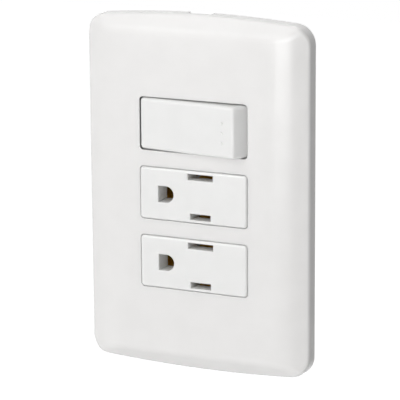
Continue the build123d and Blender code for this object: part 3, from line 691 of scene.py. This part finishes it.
@dataclass(frozen=True)
class Screw:
    """One screw in its place.

    Attributes:
        form: Its sizes.
        seat: Centre of the head's seat in millimetres.
        facing: Way that the shank points.
    """

    form: ScrewForm
    seat: tuple[float, float, float]
    facing: Facing

    def add_skin(self, shape: bmesh.types.BMesh) -> None:
        """Adds the closed skin of the screw without its recess.

        Args:
            shape: Mesh under construction, in metres.
        """
        rings = self.form.outline()
        tip = [(self.form.length, self.form.end_r), (self.form.length, 0.0)]
        turns = math.ceil(self.form.thread_length / self.form.pitch)
        round_once = range(STEPS_ROUND)
        whole_thread = range(-STEPS_ROUND, turns * STEPS_ROUND)
        add_patch(shape, lambda i, j: self._at(i, *rings[j]), round_once, range(len(rings) - 1))
        add_patch(shape, lambda i, j: self._at(i, *tip[j]), round_once, range(1))
        add_patch(
            shape,
            lambda i, j: self._at(i, *self.form.thread(i, j)),
            whole_thread,
            range(ROWS_PER_TURN),
        )

    def add_recess(self, shape: bmesh.types.BMesh) -> None:
        """Adds the two tapered bars that the cross recess is cut with.

        Args:
            shape: Mesh of the cutting tool, in metres.
        """
        form = self.form
        beyond = -form.head_height - form.drive_depth
        bottom = form.drive_depth - form.head_height
        half = (form.drive_width / 2, form.drive_slot / 2)
        for wide, high in (half, half[::-1]):
            corners = [
                self._place(height, side * wide * share, rise * high * share)
                for height, share in zip((beyond, bottom), BAR_TAPER)
                for side, rise in BAR_CORNERS
            ]
            verts = [shape.verts.new(corner) for corner in corners]
            for face in BAR_FACES:
                shape.faces.new([verts[i] for i in face])

    def _at(self, step: int, height: float, radius: float) -> Vector:
        """Point in metres at a step round the screw.

        Args:
            step: Step round the axis.
            height: Distance from the seat along the shank.
            radius: Distance from the axis.

        Returns:
            The point in the frame.
        """
        angle = math.tau * step / STEPS_ROUND
        return self._place(height, radius * math.cos(angle), radius * math.sin(angle))

    def _place(self, height: float, side: float, rise: float) -> Vector:
        """Point in metres from a height along the shank and two distances across it.

        Args:
            height: Distance from the seat along the shank.
            side: Distance along X.
            rise: Distance along Z.

        Returns:
            The point in the frame.
        """
        x, y, z = self.seat
        return Vector((x + side, y + self.facing.value * height, z + rise)) * MM


MERGE_DISTANCE = 1e-7
SHARP_ANGLE = math.radians(32)


def add_patch(
    shape: bmesh.types.BMesh,
    place: Callable[[int, int], Vector],
    columns: range,
    rows: range,
) -> None:
    """Adds a grid of faces, whose doubled corners are merged when the mesh is finished.

    Args:
        shape: Mesh under construction.
        place: Gives a corner from its column and row.
        columns: Columns of faces.
        rows: Rows of faces.
    """
    for i in columns:
        for j in rows:
            corners = [place(i, j), place(i + 1, j), place(i + 1, j + 1), place(i, j + 1)]
            shape.faces.new([shape.verts.new(corner) for corner in corners])


def finished_mesh(name: str, shape: bmesh.types.BMesh) -> bpy.types.Object:
    """Merges doubled corners, turns the faces outwards and links the mesh as an object.

    Args:
        name: Name of the object.
        shape: Mesh under construction, which is freed.

    Returns:
        The new object.
    """
    bmesh.ops.remove_doubles(shape, verts=shape.verts, dist=MERGE_DISTANCE)
    bmesh.ops.recalc_face_normals(shape, faces=shape.faces)
    mesh = bpy.data.meshes.new(name)
    shape.to_mesh(mesh)
    shape.free()
    made = bpy.data.objects.new(name, mesh)
    bpy.context.scene.collection.objects.link(made)
    return made


def build_screws(name: str, screws: list[Screw]) -> bpy.types.Object:
    """Makes a set of screws as one piece, with their recesses cut.

    Args:
        name: Name of the piece.
        screws: Every screw of the set.

    Returns:
        The piece.
    """
    skin, bars = bmesh.new(), bmesh.new()
    for screw in screws:
        screw.add_skin(skin)
        screw.add_recess(bars)
    piece = finished_mesh(name, skin)
    tool = finished_mesh(name + "_recess_tool", bars)
    cut = piece.modifiers.new("recess", "BOOLEAN")
    cut.operation = "DIFFERENCE"
    cut.solver = "EXACT"
    cut.use_self = True
    cut.object = tool
    whole = piece.evaluated_get(bpy.context.evaluated_depsgraph_get())
    carved = bpy.data.meshes.new_from_object(whole)
    piece.modifiers.remove(cut)
    piece.data = carved
    bpy.data.objects.remove(tool)
    carved.shade_smooth()
    carved.set_sharp_from_angle(angle=SHARP_ANGLE)
    LOG.info("built %s with %d faces", name, len(carved.polygons))
    return piece


@dataclass
class CoverPlate(SubAssembly):
    """The snap-on plate that shows in front."""

    def build(self) -> None:
        """Dresses the plate."""
        self.dress("face_plate", self.finishes.plate)


@dataclass
class Mounting(SubAssembly):
    """The frame behind the plate and the two screws that hold it.

    Attributes:
        screw_spacing: Distance between the two screws in millimetres.
        seat_y: Level of the frame's front, on which the heads lie, in millimetres.
    """

    screw_spacing: float = 83.3
    seat_y: float = -2.5

    def build(self) -> None:
        """Dresses the frame and makes the threaded screws."""
        self.dress("mounting_frame", self.finishes.frame)
        screws = [
            Screw(BOX_SCREW, (0.0, self.seat_y, end * self.screw_spacing / 2), Facing.INTO_WALL)
            for end in (1, -1)
        ]
        self.fit_screws("box_screws", screws)


@dataclass
class Module(SubAssembly):
    """What the switch and the sockets have in common: terminals with screws at the rear.

    Attributes:
        level: Height of the module's middle in millimetres.
        terminal_x: Distance of the terminals from the middle in millimetres.
        terminal_z: Half of the distance between two terminals on one side in millimetres.
        seat_y: Level on which the terminal screws' heads lie in millimetres.
    """

    level: float = 0.0
    terminal_x: float = 15.6
    terminal_z: float = 4.25
    seat_y: float = 20.1

    def fit_terminal_screws(self, node: str, places: list[tuple[float, float]]) -> None:
        """Makes the threaded terminal screws.

        Args:
            node: Name of the solid that they replace.
            places: Each screw's distance from the module's middle along X and Z, in millimetres.
        """
        screws = [
            Screw(TERMINAL_SCREW, (x, self.seat_y, self.level + z), Facing.TO_ROOM)
            for x, z in places
        ]
        self.fit_screws(node, screws)


@dataclass
class SwitchModule(Module):
    """The rocker switch with its toggle mechanism."""

    def build(self) -> None:
        """Dresses every piece of the switch."""
        self.dress("switch_cover", self.finishes.front)
        self.dress("rocker", self.finishes.front)
        self.dress("switch_housing", self.finishes.housing)
        self.dress("plunger", self.finishes.plunger)
        self.dress("plunger_spring", self.finishes.spring)
        for tip in ("moving_contact_tip", "fixed_contact_tip"):
            self.dress(tip, self.finishes.silver)
        for strip in ("seesaw_contact", "common_terminal", "switched_terminal"):
            self.dress(strip, self.finishes.brass)
        self.dress("switch_clamp_plates", self.finishes.screws)
        places = [(self.terminal_x, 0.0), (-self.terminal_x, 0.0)]
        self.fit_terminal_screws("switch_terminal_screws", places)


@dataclass
class SocketModule(Module):
    """One earthed socket.

    Attributes:
        number: 1 for the upper socket, 2 for the lower.
    """

    number: int = 1

    def build(self) -> None:
        """Dresses every piece of the socket."""
        name = f"socket_{self.number}_"
        self.dress(name + "face", self.finishes.front)
        self.dress(name + "housing", self.finishes.housing)
        for strip in ("neutral_contact", "line_contact", "earth_contact"):
            self.dress(name + strip, self.finishes.brass)
        self.dress(name + "clamp_plates", self.finishes.screws)
        places = [
            (self.terminal_x, self.terminal_z),
            (self.terminal_x, -self.terminal_z),
            (-self.terminal_x, 0.0),
        ]
        self.fit_terminal_screws(name + "terminal_screws", places)


@dataclass
class PhotoCamera:
    """The camera at the photograph's angle.

    Attributes:
        azimuth: Degrees round to the object's right.
        elevation: Degrees above the horizon.
        roll: Degrees that the camera leans.
        distance: Metres from the target.
        lens: Focal length in millimetres.
        sensor: Sensor width in millimetres.
        target: Point that the view is centred on.
        reach: How many times nearer and further than the target it sees.
    """

    azimuth: float = 25.66
    elevation: float = 13.23
    roll: float = -0.40
    distance: float = 0.7386
    lens: float = 213.46
    sensor: float = 36.0
    target: Vector = field(default_factory=lambda: Vector((2.34, -7.5, -0.69)) * MM)
    reach: float = 20.0

    def build(self) -> bpy.types.Object:
        """Makes the camera and hands it to the scene.

        Returns:
            The camera object.
        """
        side, rise = math.radians(self.azimuth), math.radians(self.elevation)
        back = Vector(
            (
                math.sin(side) * math.cos(rise),
                -math.cos(side) * math.cos(rise),
                math.sin(rise),
            )
        )
        data = bpy.data.cameras.new("photo_camera")
        data.sensor_width = self.sensor
        data.lens = self.lens
        camera = bpy.data.objects.new("photo_camera", data)
        bpy.context.scene.collection.objects.link(camera)
        level = (-back).to_track_quat("-Z", "Y").to_matrix().to_4x4()
        lean = Matrix.Rotation(math.radians(self.roll), 4, "Z")
        camera.matrix_world = Matrix.Translation(self.target + back * self.distance) @ level @ lean
        data.clip_start = self.distance / self.reach
        data.clip_end = self.distance * self.reach
        bpy.context.scene.camera = camera
        LOG.info("camera %.1f mm at %.0f mm", self.lens, self.distance / MM)
        return camera


@dataclass
class SoftBox:
    """One square studio lamp that faces the object.

    Attributes:
        name: Lamp name.
        place: Where it hangs, in metres.
        size: Side of its square in metres.
        watts: Power.
    """

    name: str
    place: tuple[float, float, float]
    size: float
    watts: float

    def build(self) -> None:
        """Hangs the lamp so that it faces the object's centre."""
        data = bpy.data.lights.new(self.name, "AREA")
        data.shape = "SQUARE"
        data.size = self.size
        data.energy = self.watts
        lamp = bpy.data.objects.new(self.name, data)
        bpy.context.scene.collection.objects.link(lamp)
        lamp.location = self.place
        lamp.rotation_mode = "QUATERNION"
        lamp.rotation_quaternion = (-Vector(self.place)).to_track_quat("-Z", "Y")
        LOG.info("lamp %s, %.2f W", self.name, self.watts)


def seen(tree: bpy.types.NodeTree) -> bpy.types.NodeSocket:
    """Tells rays that show a thing, straight, in gloss or through glass, from rays that light.

    Args:
        tree: Node tree that gets the test.

    Returns:
        A socket that is 1 for camera, glossy and transmission rays.
    """
    rays = add_node(tree, "ShaderNodeLightPath").outputs
    mirrored = add_node(
        tree,
        "ShaderNodeMath",
        links={0: rays["Is Camera Ray"], 1: rays["Is Glossy Ray"]},
        operation="MAXIMUM",
    )
    through = add_node(
        tree,
        "ShaderNodeMath",
        links={0: mirrored.outputs[0], 1: rays["Is Transmission Ray"]},
        operation="MAXIMUM",
    )
    return through.outputs[0]


@dataclass
class Studio:
    """White studio: a floor far below, a lit room and soft lamps.

    Attributes:
        floor_drop: Depth of the floor below the object's centre in metres.
        floor_size: Side of the floor in metres.
        floor_lift: White that is added to the lit paper where it is seen, so that shadows stay.
        paper: Colour of the floor's paper.
        paper_roughness: Roughness of the paper.
        fill: Strength of the light that comes evenly from all round.
        lamps: The soft boxes.
    """

    floor_drop: float = 0.45
    floor_size: float = 6.0
    floor_lift: float = 0.85
    paper: str = "#E8E8E8"
    paper_roughness: float = 0.9
    fill: float = 0.15
    lamps: tuple[SoftBox, ...] = (
        SoftBox("key_in_front", (0.05, -1.2, 0.1), 0.6, 6.0),
        SoftBox("side_from_left", (-0.45, -1.1, 0.12), 0.6, 1.2),
        SoftBox("sheen_upper_left", (-0.26, -0.62, 0.62), 0.62, 3.0),
        SoftBox("top_from_behind", (0.0, 0.55, 0.96), 0.6, 4.6),
    )

    def build(self) -> None:
        """Makes the floor, the room's light and the lamps."""
        self._floor()
        self._room()
        for lamp in self.lamps:
            lamp.build()
        bpy.context.scene.view_settings.view_transform = "Standard"

    def _floor(self) -> None:
        """Lays a pale floor that the camera sees as the white of the room."""
        mesh = bpy.data.meshes.new("studio_floor")
        shape = bmesh.new()
        bmesh.ops.create_grid(shape, x_segments=1, y_segments=1, size=self.floor_size / 2)
        bmesh.ops.translate(shape, verts=shape.verts, vec=(0, 0, -self.floor_drop))
        shape.to_mesh(mesh)
        shape.free()
        floor = bpy.data.objects.new("studio_floor", mesh)
        bpy.context.scene.collection.objects.link(floor)
        material, tree = new_material("pale_paper_floor")
        paper = add_node(
            tree,
            "ShaderNodeBsdfPrincipled",
            values={"Base Color": linear(self.paper), "Roughness": self.paper_roughness},
        )
        lift = add_node(
            tree,
            "ShaderNodeEmission",
            values={"Color": linear(WHITE), "Strength": self.floor_lift},
        )
        white = add_node(
            tree, "ShaderNodeAddShader", links={0: paper.outputs[0], 1: lift.outputs[0]}
        )
        shown = add_node(
            tree,
            "ShaderNodeMixShader",
            links={0: seen(tree), 1: paper.outputs[0], 2: white.outputs[0]},
        )
        add_node(tree, "ShaderNodeOutputMaterial", links={"Surface": shown.outputs[0]})
        mesh.materials.append(material)

    def _room(self) -> None:
        """Gives the room an even fill, and white where camera, gloss or glass see it."""
        world = bpy.data.worlds.new("white_room")
        bpy.context.scene.world = world
        world.use_nodes = True
        tree = world.node_tree
        tree.nodes.clear()
        fill, white = (
            add_node(
                tree,
                "ShaderNodeBackground",
                values={"Color": linear(WHITE), "Strength": strength},
            )
            for strength in (self.fill, 1.0)
        )
        shown = add_node(
            tree,
            "ShaderNodeMixShader",
            links={0: seen(tree), 1: fill.outputs[0], 2: white.outputs[0]},
        )
        add_node(tree, "ShaderNodeOutputWorld", links={"Surface": shown.outputs[0]})


def main() -> None:
    """Loads the frame and builds every sub-assembly, the studio and the camera."""
    logging.basicConfig(level=logging.INFO, format="%(message)s")
    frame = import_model()
    finishes = Finishes()
    assemblies: list[SubAssembly] = [
        CoverPlate(frame["nodes"], finishes),
        Mounting(frame["nodes"], finishes),
        SwitchModule(frame["nodes"], finishes, level=MODULE_PITCH),
        SocketModule(frame["nodes"], finishes, level=0.0, number=1),
        SocketModule(frame["nodes"], finishes, level=-MODULE_PITCH, number=2),
    ]
    for assembly in assemblies:
        assembly.build()
    Studio().build()
    PhotoCamera().build()


if __name__ == "__main__":
    main()
